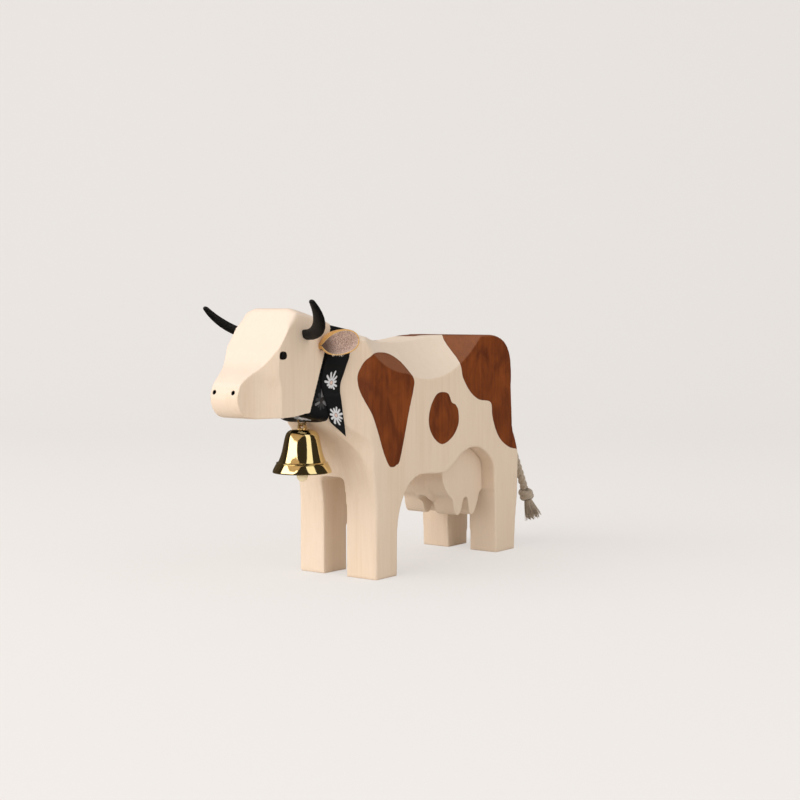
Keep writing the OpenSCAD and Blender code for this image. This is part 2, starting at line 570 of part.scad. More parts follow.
// A knot keeps the strands together; below it they fray into a tuft
module tail_tuft() color(hemp) {
    e = len(tail_route) - 1;
    way = unit(tail_route[e] - tail_route[e - 1]);
    knot = [[0, 0.6], [0.08, 0.85], [0.28, 1], [0.5, 1], [0.7, 0.85], [0.8, 0.6]];
    fray = [[0.08, 0.5], [0.3, 0.72], [0.6, 0.9], [0.85, 1], [1, 0.8]];
    start = tail_route[e] + way * glue_gap;
    tube(concat([for (k = knot) start + way * k[0] * knot_d],
            [for (f = fray) start + way * (0.8 * knot_d + f[0] * tuft_l)]),
        concat([for (k = knot) k[1] * knot_d / 2], [for (f = fray) f[1] * tuft_d / 2]), [0, 1, 0], 12);
}

body_block();
udder_block();
head_block();
neck_dowel();
horn_left();
horn_right();
ear_left();
ear_right();
eye_left();
eye_right();
neck_ribbon();
bell_ring();
bell_shell();
bell_hanger();
bell_clapper();
tail_rope();
tail_tuft();
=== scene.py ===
import bpy
import math
import numpy as np
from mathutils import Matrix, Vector


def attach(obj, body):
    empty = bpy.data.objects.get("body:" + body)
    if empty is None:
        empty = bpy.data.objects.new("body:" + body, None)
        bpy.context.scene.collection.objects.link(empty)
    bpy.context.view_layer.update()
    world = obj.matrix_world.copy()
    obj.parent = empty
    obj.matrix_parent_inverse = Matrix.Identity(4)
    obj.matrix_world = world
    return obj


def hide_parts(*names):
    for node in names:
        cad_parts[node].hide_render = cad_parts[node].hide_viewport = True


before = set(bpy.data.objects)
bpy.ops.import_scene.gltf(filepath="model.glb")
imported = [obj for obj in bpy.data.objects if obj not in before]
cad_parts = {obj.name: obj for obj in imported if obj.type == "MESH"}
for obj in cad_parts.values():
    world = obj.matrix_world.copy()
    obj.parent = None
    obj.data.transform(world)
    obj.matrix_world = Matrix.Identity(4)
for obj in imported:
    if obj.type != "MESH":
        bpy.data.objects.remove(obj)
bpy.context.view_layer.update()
MM = 0.001

# View
# The cow is seen from its left front, in a frame 800 pixels wide. Sizes and places
# in this file are in mm unless they say otherwise, and MM turns them into metres.
eye_point = (-655.35, -513.0, 144.0)
heading = math.radians(36.8)
horizon_px, focal_px = 90, 1505
dip = math.atan(horizon_px / focal_px)
look = Vector((math.cos(heading) * math.cos(dip), math.sin(heading) * math.cos(dip), -math.sin(dip)))
camera = bpy.data.objects.new("view", bpy.data.cameras.new("view"))
bpy.context.scene.collection.objects.link(camera)
camera.data.lens = 67.73
camera.data.sensor_width = 36
camera.data.clip_start = 0.01
camera.data.clip_end = 20
camera.location = Vector(eye_point) * MM
camera.rotation_euler = look.to_track_quat("-Z", "Y").to_euler()
bpy.context.scene.camera = camera
bpy.context.scene.view_settings.view_transform = "Standard"

# Tail
# The tail is a laid cord of three strands of pale natural fibre, glued into a
# hole in the rump. It hangs in a soft bow and ends in a knot and a frayed tuft.
tail_route = [(97.8, 0, 104), (105.8, 0, 104), (112.1, 0, 103.3), (118.1, -0.5, 100), (124.2, -1.7, 93.6),
              (128.7, -3.1, 85), (131.5, -4.8, 76), (133.9, -6.4, 67), (136.2, -8.2, 58), (138.5, -9.9, 49.3),
              (141, -11.4, 40.7), (143.3, -13, 32.2)]
hole_floor, hole_mouth = 0.5, 8
lay_length, rope_step, rope_sides = 11, 0.55, 30
strand_radius, strand_offset = 1.45, 1.08
knot_start, knot_pitch, knot_rise, knot_radius, knot_strand = 2.7, 2.6, 0.9, 2.3, 2.2
fray_start, fray_shortest, fray_longest = 6.6, 11, 13.6
fray_root, fray_spread, fray_bow = 1.7, 3.4, 0.8
hair_count, hair_radius, hair_thinning = 150, 0.3, 0.16
lap_points, lap_sides, hair_points, hair_sides = 33, 12, 7, 5
cord_shade, cord_light = (0.27, 0.205, 0.145), (0.60, 0.51, 0.40)


def smooth_line(points, steps, closed=False):
    """A soft curve through given points."""
    p = np.array(points, float)
    n = len(p)
    out = []
    for i in range(n if closed else n - 1):
        pick = (lambda k: p[k % n]) if closed else (lambda k: p[min(max(k, 0), n - 1)])
        a, b, c, d = pick(i - 1), pick(i), pick(i + 1), pick(i + 2)
        for t in np.arange(steps) / steps:
            out.append((2 * b + (c - a) * t + (2 * a - 5 * b + 4 * c - d) * t * t
                        + (3 * b - a - 3 * c + d) * t ** 3) / 2)
    if not closed:
        out.append(p[-1])
    return np.array(out)


def smooth_shade(made):
    made.data.polygons.foreach_set("use_smooth", [True] * len(made.data.polygons))


def piece(name, points, faces):
    """A new piece of the scene, with its points in metres."""
    mesh = bpy.data.meshes.new(name)
    mesh.from_pydata([tuple(p) for p in points], [], faces)
    mesh.validate()
    mesh.update()
    made = bpy.data.objects.new(name, mesh)
    bpy.context.scene.collection.objects.link(made)
    smooth_shade(made)
    return made


def tube_faces(rings, sides):
    """Faces of a closed tube whose rings have that many points."""
    faces = []
    for i in range(rings - 1):
        for k in range(sides):
            j = (k + 1) % sides
            faces.append((i * sides + k, i * sides + j, (i + 1) * sides + j, (i + 1) * sides + k))
    faces.append(tuple(range(sides))[::-1])
    faces.append(tuple((rings - 1) * sides + k for k in range(sides)))
    return faces


def tubes(name, paths, radii, sides):
    """One piece of several closed tubes, all sizes in mm."""
    points, faces = [], []
    for path in paths:
        path = [Vector(p) * MM for p in path]
        base = len(points)
        side = Vector((0, 1, 0.01))
        for i, p in enumerate(path):
            way = (path[min(i + 1, len(path) - 1)] - path[max(i - 1, 0)]).normalized()
            side = (side - way * side.dot(way)).normalized()
            up = way.cross(side)
            for k in range(sides):
                a = math.tau * k / sides
                points.append(p + (side * math.cos(a) + up * math.sin(a)) * (radii[i] * MM))
        faces += [tuple(k + base for k in face) for face in tube_faces(len(path), sides)]
    return piece(name, points, faces)


tail_line = smooth_line(tail_route, 8)
run = np.concatenate([[0], np.cumsum(np.linalg.norm(np.diff(tail_line, axis=0), axis=1))])
tail_end = tail_line[-1]
tail_way = (tail_end - tail_line[-3]) / np.linalg.norm(tail_end - tail_line[-3])
tail_side = np.cross(tail_way, [0, 1, 0])
tail_side /= np.linalg.norm(tail_side)
tail_up = np.cross(tail_way, tail_side)


def laid_rope(name, start, end):
    """Three strands twisted together, from start to end mm along the tail, and their middle line."""
    count = int((end - start) / rope_step) + 1
    centres = [np.array([np.interp(s, run, tail_line[:, k]) for k in range(3)])
               for s in np.linspace(start, end, count)]
    third = math.tau / 3
    points = []
    for i, centre in enumerate(centres):
        way = Vector(centres[min(i + 1, count - 1)] - centres[max(i - 1, 0)]).normalized()
        side = (Vector((0, 1, 0)) - way * way.y).normalized()
        up = way.cross(side)
        twist = math.tau * (start + (end - start) * i / (count - 1)) / lay_length
        for k in range(rope_sides):
            a = math.tau * k / rope_sides
            lobe = (a - twist + third / 2) % third - third / 2
            hollow = strand_offset * math.sin(lobe)
            r = strand_offset * math.cos(lobe) + math.sqrt(strand_radius ** 2 - hollow ** 2)
            points.append((Vector(centre) + (side * math.cos(a) + up * math.sin(a)) * r) * MM)
    return piece(name, points, tube_faces(count, rope_sides)), [tuple(Vector(c) * MM) for c in centres]


def round_tail(a, radius):
    """The step from the tail's line to a point at angle a round it."""
    return (tail_side * math.cos(a) + tail_up * math.sin(a)) * radius


tail_cord, tail_path = laid_rope("tail_cord", hole_mouth, run[-1])
tail_root, _ = laid_rope("tail_root", hole_floor, hole_mouth)

laps = [[tail_end + tail_way * (knot_start + knot_pitch * lap + knot_rise * math.sin(a + 2 * lap))
         + round_tail(a, knot_radius) for a in np.linspace(0, math.tau, lap_points)] for lap in range(2)]
tail_knot = tubes("tail_knot", laps, [knot_strand] * lap_points, lap_sides)

rng = np.random.default_rng(5)
hairs = []
shares = np.linspace(0, 1, hair_points)
for _ in range(hair_count):
    a = rng.uniform(0, math.tau)
    spread = math.sqrt(rng.uniform(0, 1))
    length = rng.uniform(fray_shortest, fray_longest)
    bow = rng.uniform(-fray_bow, fray_bow, 2)
    hairs.append([tail_end + tail_way * (fray_start + t * length)
                  + round_tail(a, (fray_root + fray_spread * t ** 0.8) * spread)
                  + (tail_side * bow[0] + tail_up * bow[1]) * t * t for t in shares])
tail_fray = tubes("tail_fray", hairs, [hair_radius - hair_thinning * t for t in shares], hair_sides)


class Paint:
    """A socket's value: sums on it add Math nodes, and its methods add the other nodes."""

    def __init__(self, tree, out):
        self.tree, self.out = tree, out

    def node(self, kind, values=(), output=0, **settings):
        """A node with its settings, then the values or links of its sockets."""
        made = self.tree.nodes.new(kind)
        for name, value in settings.items():
            setattr(made, name, value)
        for key, value in dict(values).items():
            socket = made.inputs[key]
            if isinstance(value, Paint):
                self.tree.links.new(value.out, socket)
            elif hasattr(value, "__len__") and len(value) == 3 and socket.type == "RGBA":
                socket.default_value = (*value, 1)
            else:
                socket.default_value = value
        return Paint(self.tree, made.outputs[output])

    def calc(self, how, *others):
        return self.node("ShaderNodeMath", dict(enumerate((self, *others))), operation=how)

    def __add__(self, other):
        return self.calc("ADD", other)

    def __mul__(self, other):
        return self.calc("MULTIPLY", other)

    def __sub__(self, other):
        return self.calc("SUBTRACT", other)

    def __rsub__(self, other):
        return self * -1 + other

    def __truediv__(self, other):
        return self.calc("DIVIDE", other)

    def __rtruediv__(self, other):
        return self.calc("POWER", -1) * other

    __radd__ = __add__
    __rmul__ = __mul__

    def step(self, low, high):
        """0 below low, 1 above high and soft between."""
        return self.node("ShaderNodeMapRange", {0: self, 1: low, 2: high}, interpolation_type="SMOOTHSTEP")

    def tint(self, a, b):
        """Colour a where this is 0 and b where it is 1."""
        return self.node("ShaderNodeMix", {0: self, 6: a, 7: b}, output=2, data_type="RGBA")

    def stretch(self, x, y, z):
        """A place times x, y and z, which makes them the cells of grain in a metre."""
        return self.node("ShaderNodeVectorMath", {0: self, 1: (x, y, z)}, operation="MULTIPLY")

    def grain(self, detail=3, rough=0.5, warp=0):
        """Cloudy noise between 0 and 1, of one cell per unit of the place."""
        return self.node("ShaderNodeTexNoise", {"Vector": self, "Scale": 1, "Detail": detail,
                                                "Roughness": rough, "Distortion": warp})

    def axis(self, i):
        return self.node("ShaderNodeSeparateXYZ", {0: self}, output=i)


def finish(name, **plain):
    """A new finish: the material, a value to start from and its shader node."""
    made = bpy.data.materials.new(name)
    made.use_nodes = True
    tree = made.node_tree
    shader = tree.nodes["Principled BSDF"]
    for key, value in plain.items():
        shader.inputs[key.replace("_", " ")].default_value = value
    return made, Paint(tree, None), shader


def into(shader, **links):
    for key, value in links.items():
        value.tree.links.new(value.out, shader.inputs[key.replace("_", " ")])


def place_of(start):
    return start.node("ShaderNodeTexCoord", output="Object")


def relief_of(height, depth):
    """The surface raised by height times depth in mm."""
    return height.node("ShaderNodeBump", {"Height": height, "Distance": depth * MM, "Strength": 1})


cord_finish, start, shader = finish("tail_fibre", Roughness=0.85, Sheen_Weight=0.25)
fibre = place_of(start).stretch(2400, 2400, 2400).grain(4, 0.7)
into(shader, Base_Color=fibre.step(0.3, 0.7).tint(cord_shade, cord_light), Normal=relief_of(fibre, 0.2))
for made in (tail_cord, tail_root, tail_knot, tail_fray):
    made.data.materials.append(cord_finish)
    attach(made, "cow")
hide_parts("tail_rope")
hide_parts("tail_rope")
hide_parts("tail_tuft")
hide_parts("tail_tuft")

# Body
# The body is sawn from one plank of pale maple with the grain running up the legs,
# hollowed along the back, sanded and left bare. Its brown patches are stained on.
shoulder_patch = [(-27.5, 121.2), (-22.5, 121.6), (-14.5, 120.5), (-5.3, 116.6), (3, 110.8), (7.8, 106.2),
                  (7.3, 100.6), (3, 88.2), (-1.1, 74.7), (-5.3, 62.5), (-8.4, 60.3), (-11.5, 59.5),
                  (-15, 60.8), (-19.6, 68), (-24.6, 79.3), (-29.5, 88.8), (-35.4, 95.7), (-40.2, 102),
                  (-42.1, 108.1), (-40.7, 112.2), (-36.3, 116.9), (-30.5, 119.7)]
flank_patch = [(35.6, 98), (40.8, 96.6), (44, 91.9), (47.9, 90.2), (50.6, 86.4), (50.7, 79.3), (45.3, 72.5),
               (35.7, 68.6), (27.8, 71.7), (22.7, 78), (21.8, 85), (24.4, 91.8), (29.5, 97.1)]
rump_patch = [(33.7, 131), (51.4, 114.4), (55, 105.7), (62.4, 97.2), (71.6, 92.1), (83.9, 89.9),
              (85.9, 81.4), (90.7, 71.6), (98.6, 64.6), (111.9, 60.4), (140, 60), (150, 100), (140, 150),
              (90, 160), (40, 150)]
far_saddle = [(-5, 150), (-8, 128), (-5, 112), (4, 101), (16, 96), (27, 104), (30, 116), (33, 150)]
far_rump = [(37, 160), (39, 132), (52, 120), (66, 108), (76, 90), (88, 72), (104, 66), (118, 64), (140, 66),
            (150, 150), (90, 170)]
far_thigh = [(60, 62), (68, 72), (78, 74), (84, 64), (80, 52), (70, 47), (62, 52)]
patch_plane, back_reach = -26.5, 20
near_limit, far_rump_limit, saddle_limit, saddle_bow, saddle_middle = 5, -2, 8, 0.02, 13
throat_lift, flank_fuller, saw_cut_aside, rump_fuller, thigh_fuller = 1.1, 0.8, 1.5, 0.3, 0.9
leg_forward, leg_back = 1.3, 0.7
leg_top, thigh_foot, thigh_top, throat_height = (50, 70), (30, 65), (85, 105), (96, 104)
leg_rear_start, leg_rear_end, flank_start, rump_start = (-18, -8), (2, 20), (-40, -26), (88, 104)
saw_cut_ahead, leg_front_ahead, throat_ahead = (0, 20), (10, 24), (42, 50)
flank_side, throat_side = (14, 24), (8, 20)
streak_dark, streak_pale, cloud_pale = (0.76, 0.605, 0.455), (0.80, 0.655, 0.51), (0.795, 0.655, 0.515)
# The last colour on each of the next two lines is painted sky sheen for upward faces.
fibre_brown, body_sky_sheen = (0.50, 0.35, 0.23), (0.83, 0.725, 0.615)
stain_deep, stain_warm, stain_sky_sheen = (0.135, 0.026, 0.003), (0.265, 0.060, 0.006), (0.34, 0.14, 0.07)
stain_fibre, stain_rim = (0.06, 0.014, 0.006), (0.075, 0.017, 0.007)


def keep_shape(made):
    """Put a piece's modifiers into its mesh."""
    bpy.context.view_layer.update()
    shape = bpy.data.meshes.new_from_object(made.evaluated_get(bpy.context.evaluated_depsgraph_get()))
    made.modifiers.clear()
    made.data = shape


def sanded(name, node, fine, rounds):
    """A copy of a solid in cells of fine mm, its edges eased by that many rounds of sanding."""
    made = bpy.data.objects.new(name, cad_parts[node].data.copy())
    bpy.context.scene.collection.objects.link(made)
    made.data.materials.clear()
    remesh = made.modifiers.new("fine", "REMESH")
    remesh.mode, remesh.voxel_size = "VOXEL", fine * MM
    smooth = made.modifiers.new("ease", "SMOOTH")
    smooth.factor, smooth.iterations = 0.5, rounds
    keep_shape(made)
    smooth_shade(made)
    return made


def vertices_of(made, what):
    """Each vertex's place (co) or normal, one row a vertex."""
    rows = np.empty(len(made.data.vertices) * 3)
    made.data.vertices.foreach_get(what, rows)
    return rows.reshape(-1, 3)


def reshape(made, shift):
    """Move a block's points by shift(x, y, z), all in mm, and return their new places."""
    at = vertices_of(made, "co") / MM
    at += np.stack(np.broadcast_arrays(*shift(*at.T)), axis=1)
    made.data.vertices.foreach_set("co", (at * MM).ravel())
    made.data.update()
    return at


def ease(value, low, high):
    """0 below low, 1 above high and soft between. Two places in mm fade a change in."""
    t = np.clip((value - low) / (high - low), 0, 1)
    return t * t * (3 - 2 * t)


def field(x, z, outline):
    """Distance in mm inside a closed outline, which is below zero outside it."""
    a = smooth_line(outline, 5, closed=True)
    b = np.roll(a, -1, axis=0)
    best = np.full(len(x), np.inf)
    inside = np.zeros(len(x), bool)
    for (ax, az), (bx, bz) in zip(a, b):
        dx, dz = bx - ax, bz - az
        t = np.clip(((x - ax) * dx + (z - az) * dz) / (dx * dx + dz * dz), 0, 1)
        best = np.minimum(best, np.hypot(x - ax - t * dx, z - az - t * dz))
        if dz:
            cross = (az > z) != (bz > z)
            inside ^= cross & (x < ax + (z - az) / dz * dx)
    return np.where(inside, best, -best)


def lifted(y, z):
    """How far sanding raised the throat's two edges."""
    return throat_lift * ease(np.abs(y), *throat_side) * (1 - ease(z, *throat_height))


def worn(x, y, z):
    """Where the photo shows the sawn block a little fuller than its nominal outline."""
    legs, thigh = 1 - ease(z, *leg_top), ease(z, *thigh_foot) * (1 - ease(z, *thigh_top))
    rear, front = ease(x, *leg_rear_start) * (1 - ease(x, *leg_rear_end)), ease(-x, *leg_front_ahead)
    along = (leg_back * rear - leg_forward * front) * legs
    along += (rump_fuller + thigh_fuller * thigh) * ease(x, *rump_start)
    side = ease(np.abs(y), *flank_side)
    across = flank_fuller * np.sign(y) * side * ease(x, *flank_start)
    across += saw_cut_aside * (1 - side) * ease(-x, *saw_cut_ahead) * legs
    return along, across, lifted(y, z) * ease(-x, *throat_ahead)


def mark(made, name, values):
    """Keep a number for each point of a mesh, for its finish to read."""
    made.data.attributes.new(name, "FLOAT", "POINT").data.foreach_set("value", np.asarray(values, np.float32))


def mark_of(start, name):
    return start.node("ShaderNodeAttribute", output="Fac", attribute_name=name)


body = sanded("body", "body_block", 0.8, 2)
at = reshape(body, worn)
# The near patches are drawn on an upright plane beside the cow, as the view shows them.
pull = (patch_plane - eye_point[1]) / (np.minimum(at[:, 1], back_reach) - eye_point[1])
near_x = eye_point[0] + (at[:, 0] - eye_point[0]) * pull
near_z = eye_point[2] + (at[:, 2] - eye_point[2]) * pull
near = np.max([field(near_x, near_z, o) for o in (shoulder_patch, flank_patch, rump_patch)], axis=0)
saddle, rump, thigh = (field(at[:, 0], at[:, 2], o) for o in (far_saddle, far_rump, far_thigh))
saddle = np.minimum(saddle, at[:, 1] - saddle_limit - saddle_bow * (at[:, 0] - saddle_middle) ** 2)
rump = np.minimum(np.maximum(rump, thigh), at[:, 1] - far_rump_limit)
near = np.minimum(near, near_limit - at[:, 1])
mark(body, "patch", np.max([near, saddle, rump], axis=0))


def maple(start, sky_sheen=body_sky_sheen):
    """Bare wood: its colour, relief and roughness, then its streaks, fine fibre and upward faces, which carry
    a painted sky sheen.
    """
    here = place_of(start)
    streak = here.stretch(420, 420, 14).grain(4, 0.6, 0.3)
    fine = here.stretch(2600, 2600, 60).grain(3, 0.6)
    cloud = here.stretch(30, 30, 12).grain(2)
    fleck = here.stretch(1500, 1500, 160).grain(2).step(0.66, 0.74)
    # Upward faces are painted paler: a painted sheen of the bright sky, used in the bare wood and the stain.
    upward_sheen = start.node("ShaderNodeTexCoord", output="Normal").axis("Z").step(0.2, 0.5)
    bare = streak.step(0.3, 0.72).tint(streak_dark, streak_pale)
    bare = cloud.step(0.35, 0.7).tint(bare, cloud_pale)
    bare = (upward_sheen * 0.6).tint(bare, sky_sheen)
    bare = (fine.step(0.35, 0.75) * 0.10 + fleck * 0.10).tint(bare, fibre_brown)
    return bare, relief_of(fine * 0.6 + streak * 0.4, 0.06), 0.52 + streak * 0.16, streak, fine, upward_sheen


wood_finish, start, shader = finish("maple", Specular_IOR_Level=0.35)
bare, relief, rough, *_ = maple(start)
into(shader, Base_Color=bare, Roughness=rough, Normal=relief)

stained_finish, start, shader = finish("stained_maple", Specular_IOR_Level=0.25)
bare, relief, rough, streak, fine, upward_sheen = maple(start)
here = place_of(start)
depth = mark_of(start, "patch") + (here.stretch(900, 900, 300).grain() - 0.5) * 0.35
cloudy = here.stretch(95, 95, 45).grain(4, 0.6, 0.8)
stain = (streak * 0.35 + cloudy * 0.65).step(0.34, 0.66).tint(stain_deep, stain_warm)
# Upward faces of the stain are painted a paler brown: painted sheen of the bright sky.
stain = (upward_sheen * 0.55).tint(stain, stain_sky_sheen)
stain = (fine.step(0.4, 0.8) * 0.3).tint(stain, stain_fibre)
rim = 1 - depth.step(0.1, 1.3)
stain = (rim * 0.15).tint(stain, stain_rim)
covered = depth.step(-0.12, 0.12)
into(shader, Base_Color=covered.tint(bare, stain), Roughness=rough - covered * 0.1, Normal=relief)
body.data.materials.append(stained_finish)
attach(body, "cow")
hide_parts("body_block")

# Udder
# The udder is a narrower block sawn to the outline of two pairs of teats, with
# a saw cut between left and right, and glued up into a hollow in the body.
cut_drop, cut_foot, cut_crown, cut_top, cut_side = 3.8, 24, 40.1, 49, (4.2, 6)


def sawn_lower(x, y, z):
    """The crown of the saw cut stands lower than its nominal outline."""
    crown = ease(z, cut_foot, cut_crown) * (1 - ease(z, cut_crown, cut_top))
    return 0, 0, -cut_drop * crown * (1 - ease(np.abs(y), *cut_side))


udder = sanded("udder", "udder_block", 0.4, 2)
reshape(udder, sawn_lower)
udder.data.materials.append(wood_finish)
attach(udder, "cow")
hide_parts("udder_block")

# Head
# The head is sawn from the side, then hollowed along both cheeks so that the
# muzzle narrows. It is dowelled and glued to the neck, and its nostrils are drilled.
crown_foot, crown_depth, crown_rounds = 134, 5, 200
bridge_fuller, brow_fuller, poll_fuller = 2.2, 0.7, 0.4
muzzle_finer, crown_higher, crown_corner, crown_front, chin_lower = 0.7, 1.3, 1.8, 1.1, 1.1
bridge_foot, bridge_top, brow_height, poll_height = (104, 113), (114, 130), (116, 126), (130, 140)
chin_height, crown_height, corner_height = (93, 101), (132, 143), (135, 143)
bridge_ahead, brow_ahead, muzzle_ahead, nostril_ahead = (84, 94), (78, 86), (92, 104), (104, 109)
chin_ahead, crown_ahead = (72, 84), (79, 86)
muzzle_side, nostril_side, corner_side = (7.5, 9.9), (7.5, 9.5), (10, 18)
nostril_radius, nostril_half_gap, nostril_height, nostril_aside, nostril_floor = 1.25, 6.3, 103.3, 0.6, -108
# The first colour below is painted sky sheen for the head's upward faces.
head_sky_sheen, nostril_black = (0.81, 0.68, 0.58), (0.006, 0.005, 0.005)


def soften(made, weight, rounds):
    """Round a block further where weight(x, y, z in mm) is above zero."""
    share = np.clip(weight(*(vertices_of(made, "co") / MM).T), 0, 1)
    group = made.vertex_groups.new(name="soft")
    for level in (0.25, 0.5, 0.75, 1):
        chosen = np.nonzero(np.abs(share - level) <= 0.125)[0]
        group.add(chosen.tolist(), level, "REPLACE")
    smooth = made.modifiers.new("soft", "SMOOTH")
    smooth.factor, smooth.iterations, smooth.vertex_group = 0.5, rounds, "soft"
    keep_shape(made)
    made.vertex_groups.clear()


def carved(x, y, z):
    """Where the photo shows the head rounder, fuller or finer than its nominal outline."""
    ahead, aside = -x, np.abs(y)
    bridge = bridge_fuller * ease(z, *bridge_foot) * (1 - ease(z, *bridge_top)) * ease(ahead, *bridge_ahead)
    brow = brow_fuller * ease(z, *brow_height) + poll_fuller * ease(z, *poll_height)
    finer = muzzle_finer * np.sign(y) * ease(aside, *muzzle_side) * ease(ahead, *muzzle_ahead)
    nostrils = nostril_aside * (1 - ease(aside, *nostril_side)) * ease(ahead, *nostril_ahead)
    corners = crown_corner * ease(aside, *corner_side) + crown_front * ease(ahead, *crown_ahead)
    crown = crown_higher * ease(z, *crown_height) - corners * ease(z, *corner_height)
    chin = chin_lower * (1 - ease(z, *chin_height)) * ease(ahead, *chin_ahead)
    return -bridge - brow * ease(ahead, *brow_ahead), nostrils - finer, crown - chin


head = sanded("head", "head_block", 0.45, 4)
soften(head, lambda x, y, z: (z - crown_foot) / crown_depth, crown_rounds)
at = reshape(head, carved)
from_nostril = np.hypot(np.abs(at[:, 1] - nostril_aside) - nostril_half_gap, at[:, 2] - nostril_height)
far_behind = 9 * (at[:, 0] > nostril_floor)
mark(head, "bore", nostril_radius - from_nostril - far_behind)
head_finish, start, shader = finish("head_maple", Specular_IOR_Level=0.35)
bare, relief, rough, *_ = maple(start, head_sky_sheen)
bored = mark_of(start, "bore").step(-0.1, 0.25)
into(shader, Base_Color=bored.tint(bare, nostril_black), Roughness=rough, Normal=relief)
head.data.materials.append(head_finish)
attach(head, "cow")
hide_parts("head_block")


def coat(name, material):
    """Give its finish to a solid that shows as it is."""
    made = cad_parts[name]
    made.data.materials.clear()
    made.data.materials.append(material)
    return made


coat("neck_dowel", wood_finish)

# Horns and eyes
# Horns and eyes are pegs of wood, turned and dyed black, with fine grain
# lengthwise. The horns are bent, and all are glued into drilled holes.
horn_growth = 0.32
dye_deep, dye_thin = (0.002, 0.002, 0.002), (0.011, 0.010, 0.009)
black_finish, start, shader = finish("black_wood", Specular_IOR_Level=0.3)
fibre = place_of(start).stretch(900, 2600, 900).grain(4, 0.65)
into(shader, Base_Color=fibre.step(0.35, 0.7).tint(dye_deep, dye_thin),
     Roughness=0.42 + fibre * 0.25, Normal=relief_of(fibre, 0.1))
for name in ("horn_left", "horn_right"):
    made = sanded(name + "_bent", name, 0.28, 2)
    swell = horn_growth * vertices_of(made, "normal").T
    reshape(made, lambda x, y, z: swell)
    made.data.materials.append(black_finish)
    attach(made, "cow")
    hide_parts(name)
for name in ("eye_left", "eye_right"):
    smooth_shade(coat(name, black_finish))

# Ears
# The ears are cut from tan leather with the suede side in, rolled tight at the
# root and glued into a drilled hole. They open forwards and out like a spoon.
ear_foot, ear_axis = (-60.95, 18.1, 125.3), (0.4623, 0.8695, 0.1736)
ear_up, ear_out = (-0.0815, -0.1533, 0.9848), (-0.8829, 0.4695, 0)
ear_length, ear_root, leather_thick = 19.6, 0.2, 0.7
ear_half_height, ear_depth, ear_tip, root_radius, root_point = 5.95, 6.0, 0.25, 1.5, 0.1
ear_lift, ear_forward = 0.5, 0.4
root_end, root_rings = -0.126, [-0.13, -0.125, -0.06]
rim_angle, over_curl, under_curl = 96, 80, 81
ear_rows, ear_columns = 40, 31
loose_fibres, fibre_steps, fibre_radii = 16, (-0.3, 0.2, 0.7, 1.1), (0.13, 0.12, 0.09, 0.04)
# The last colour on the next line is painted shade for the root of the cup.
suede_shade, suede_light, suede_root_shade = (0.42, 0.27, 0.21), (1.0, 0.82, 0.72), (0.10, 0.05, 0.035)
skin_dark, skin_light = (0.50, 0.24, 0.05), (0.68, 0.36, 0.10)
edge_dark, edge_light = (0.66, 0.36, 0.10), (0.84, 0.54, 0.20)
loose_dark, loose_light = (0.70, 0.58, 0.44), (0.88, 0.78, 0.65)


def slab(name, grid, thick, marks, loop=False):
    """A closed sheet of that thickness on a grid of points, where marks are numbers on the same grid."""
    grid = np.array(grid, float)
    rows, columns = grid.shape[:2]
    along = np.roll(grid, -1, 0) - np.roll(grid, 1, 0) if loop else np.gradient(grid, axis=0)
    normal = np.cross(along, np.gradient(grid, axis=1))
    normal /= np.linalg.norm(normal, axis=2, keepdims=True) + 1e-12
    points = np.concatenate([(grid + normal * thick * half).reshape(-1, 3) for half in (0.5, -0.5)])
    under = rows * columns
    faces = []
    for i in range(rows if loop else rows - 1):
        a, b = i * columns, (i + 1) % rows * columns
        for j in range(columns - 1):
            faces.append((a + j, b + j, b + j + 1, a + j + 1))
            faces.append((under + a + j, under + a + j + 1, under + b + j + 1, under + b + j))
        faces.append((a, under + a, under + b, b))
        a, b = a + columns - 1, b + columns - 1
        faces.append((a, b, under + b, under + a))
    if not loop:
        for j in range(columns - 1):
            faces.append((j, j + 1, under + j + 1, under + j))
            a = (rows - 1) * columns + j
            faces.append((a, under + a, under + a + 1, a + 1))
    made = piece(name, points * MM, faces)
    for key, values in marks.items():
        mark(made, key, np.concatenate([np.ravel(values)] * 2))
    mark(made, "underside", np.repeat([0, 1], under))
    return made


def cup_size(u):
    """Half height and depth of the rolled cup at share u of its length."""
    if u < root_end:
        return root_point, root_point
    swell = max(0, 1 - abs(2 * u - 1) ** 2.3) ** 0.5
    least = 0 if u > 0.5 else root_radius
    return max(least, ear_tip + ear_half_height * swell), max(least, ear_tip + ear_depth * swell)


def ear(name, side):
    """One ear cup with its loose fibres, where side is -1 for left and 1 for right."""
    root, axis, up, out = (np.array(right) * (1, side, 1) for right in (ear_foot, ear_axis, ear_up, ear_out))
    grid, lengthwise = [], []
    for u in [*root_rings, *np.linspace(0, 1, ear_rows)]:
        tall, deep = cup_size(u)
        rest = 1 - max(u, 0)
        over, below = rim_angle + over_curl * rest ** 1.7, rim_angle + under_curl * rest ** 7
        row = []
        for v in np.linspace(-1, 1, ear_columns):
            a = math.radians(over * v if v > 0 else below * v)
            row.append(root + axis * (ear_root + ear_length * u) + up * (tall * math.sin(a) + ear_lift)
                       - out * (deep * math.cos(a) - ear_forward))
            lengthwise.append(u)
        grid.append(row if side < 0 else row[::-1])
    made = slab(name, grid, leather_thick, {"lengthwise": lengthwise})
    made.data.materials.append(leather_finish)
    paths = []
    for _ in range(loose_fibres):
        row = grid[len(root_rings) + int(rng.uniform(0.25, 0.55) * (ear_rows - 1))]
        spot = np.array(row[0 if side < 0 else -1]) + rng.uniform(-0.3, 0.3, 3)
        way = -up * rng.uniform(0.5, 1.1) + out * rng.uniform(0.1, 0.7) + axis * rng.uniform(-0.5, 0.5)
        paths.append([spot + way * t + up * 0.15 * t * t for t in fibre_steps])
    fibres = tubes(name + "_fibres", paths, fibre_radii, hair_sides)
    fibres.data.materials.append(fibre_finish)
    for part in (made, fibres):
        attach(part, "cow")
    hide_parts("ear_left" if side < 0 else "ear_right")


